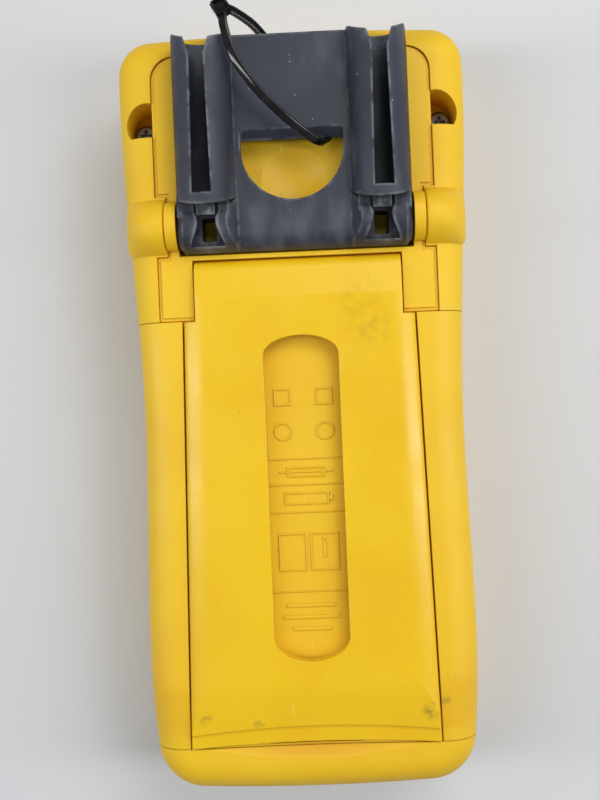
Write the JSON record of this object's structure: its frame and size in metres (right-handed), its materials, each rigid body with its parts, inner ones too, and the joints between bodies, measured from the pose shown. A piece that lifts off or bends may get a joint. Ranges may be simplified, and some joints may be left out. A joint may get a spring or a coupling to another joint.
{
  "type": "digital multimeter",
  "caption": "Rugged hand-held digital multimeter in a soft waisted boot, lying face down, with a rear tilt stand, a hinged test-probe holder and a cable tie through its strap hole.",
  "frame": {"origin": "middle of the footprint, cable tie included, on the plane that the front rim rests on", "axes": "+Z is the outward normal of the meter's back, +Y points to the display end, +X is to the right seen from behind"},
  "size_m": [0.1012, 0.2276, 0.0607],
  "materials": {
    "overmould": "matte soft yellow moulding",
    "shell": "satin yellow moulding",
    "stand": "satin yellow moulding, worn",
    "holder": "scuffed dark grey moulding",
    "nylon": "black nylon",
    "steel": "zinc plated",
    "plated": "tinned or nickel plated",
    "cell_wrap": "plain dark film on the cells",
    "ceramic": "glazed white ceramic",
    "ceramic_blue": "epoxy coated disc",
    "front": "fine textured dark grey moulding",
    "seal": "black elastomer",
    "window": "clear cast window",
    "display": "grey-green liquid crystal cell",
    "diffuser": "white light guide",
    "board": "green solder mask",
    "chip": "black epoxy",
    "knob": "dark grey moulding",
    "rotor": "natural grey moulding",
    "contact": "gold flashed brass",
    "key": "light grey key",
    "key_dark": "yellow key"
  },
  "bodies": {
    "case": {"rear_overmould": "overmould", "rear_case": "shell", "battery_door": "shell", "door_seal": "seal", "stand_hinge_pins": "steel", "holder_hinge_pins": "steel", "case_screws": "steel", "battery_cells": "cell_wrap", "battery_contacts": "plated", "fuse_tubes": "ceramic", "fuse_caps": "plated", "fuse_clips": "plated", "front_overmould": "overmould", "front_case": "front", "case_seal": "seal", "display_window": "window", "display_panel": "display", "display_backlight": "diffuser", "display_frame": "front", "display_contact_strips": "seal", "keypad_membrane": "seal", "dome_switches": "plated", "circuit_board": "board", "circuit_chips": "chip", "shield_can": "plated", "surge_protectors": "ceramic_blue", "current_shunt": "plated", "beeper": "chip", "selector_seal": "seal", "detent_spring": "steel", "socket_amps": "contact", "socket_milliamps": "contact", "socket_common": "contact", "socket_volts": "contact", "socket_shrouds": "front"},
    "stand": {"tilt_stand": "stand"},
    "holder": {"probe_holder": "holder", "cable_tie_strap": "nylon", "cable_tie_head": "nylon"},
    "selector": {"selector_knob": "knob", "selector_rotor": "rotor", "selector_contacts": "contact"},
    "latch_left": {"door_latch_left": "rotor"},
    "latch_right": {"door_latch_right": "rotor"},
    "softkey_1_body": {"softkey_1": "key"},
    "softkey_2_body": {"softkey_2": "key"},
    "softkey_3_body": {"softkey_3": "key"},
    "softkey_4_body": {"softkey_4": "key"},
    "function_key_1_body": {"function_key_1": "key"},
    "function_key_2_body": {"function_key_2": "key"},
    "function_key_3_body": {"function_key_3": "key"},
    "function_key_4_body": {"function_key_4": "key"},
    "power_key_body": {"power_key": "key_dark"},
    "backlight_key_body": {"backlight_key": "key_dark"}
  },
  "joints": [
    {"name": "stand_hinge", "type": "hinge", "parent": "case", "child": "stand", "pos_m": [0, 0.03725, 0.0443], "axis": [-1, 0, 0], "range_deg": [0, 40]},
    {"name": "holder_hinge", "type": "hinge", "parent": "case", "child": "holder", "pos_m": [0, 0.05155, 0.047], "axis": [1, 0, 0], "range_deg": [0, 90]},
    {"name": "selector_turn", "type": "hinge", "parent": "case", "child": "selector", "pos_m": [0, -0.04475, 0.009], "axis": [0, 0, -1], "range_deg": [0, 180]},
    {"name": "latch_left_turn", "type": "hinge", "parent": "case", "child": "latch_left", "pos_m": [-0.016, -0.09275, 0.041], "axis": [0, 0, 1], "range_deg": [0, 90]},
    {"name": "latch_right_turn", "type": "hinge", "parent": "case", "child": "latch_right", "pos_m": [0.016, -0.09275, 0.041], "axis": [0, 0, -1], "range_deg": [0, 90]},
    {"name": "softkey_1_press", "type": "slide", "parent": "case", "child": "softkey_1_body", "axis": [0, 0, 1], "range_m": [0, 0.0008], "stiffness_N_per_m": 1800, "springref_m": -0.0002},
    {"name": "softkey_2_press", "type": "slide", "parent": "case", "child": "softkey_2_body", "axis": [0, 0, 1], "range_m": [0, 0.0008], "stiffness_N_per_m": 1800, "springref_m": -0.0002},
    {"name": "softkey_3_press", "type": "slide", "parent": "case", "child": "softkey_3_body", "axis": [0, 0, 1], "range_m": [0, 0.0008], "stiffness_N_per_m": 1800, "springref_m": -0.0002},
    {"name": "softkey_4_press", "type": "slide", "parent": "case", "child": "softkey_4_body", "axis": [0, 0, 1], "range_m": [0, 0.0008], "stiffness_N_per_m": 1800, "springref_m": -0.0002},
    {"name": "function_key_1_press", "type": "slide", "parent": "case", "child": "function_key_1_body", "axis": [0, 0, 1], "range_m": [0, 0.0008], "stiffness_N_per_m": 1800, "springref_m": -0.0002},
    {"name": "function_key_2_press", "type": "slide", "parent": "case", "child": "function_key_2_body", "axis": [0, 0, 1], "range_m": [0, 0.0008], "stiffness_N_per_m": 1800, "springref_m": -0.0002},
    {"name": "function_key_3_press", "type": "slide", "parent": "case", "child": "function_key_3_body", "axis": [0, 0, 1], "range_m": [0, 0.0008], "stiffness_N_per_m": 1800, "springref_m": -0.0002},
    {"name": "function_key_4_press", "type": "slide", "parent": "case", "child": "function_key_4_body", "axis": [0, 0, 1], "range_m": [0, 0.0008], "stiffness_N_per_m": 1800, "springref_m": -0.0002},
    {"name": "power_key_press", "type": "slide", "parent": "case", "child": "power_key_body", "axis": [0, 0, 1], "range_m": [0, 0.0008], "stiffness_N_per_m": 1800, "springref_m": -0.0002},
    {"name": "backlight_key_press", "type": "slide", "parent": "case", "child": "backlight_key_body", "axis": [0, 0, 1], "range_m": [0, 0.0008], "stiffness_N_per_m": 1800, "springref_m": -0.0002}
  ]
}
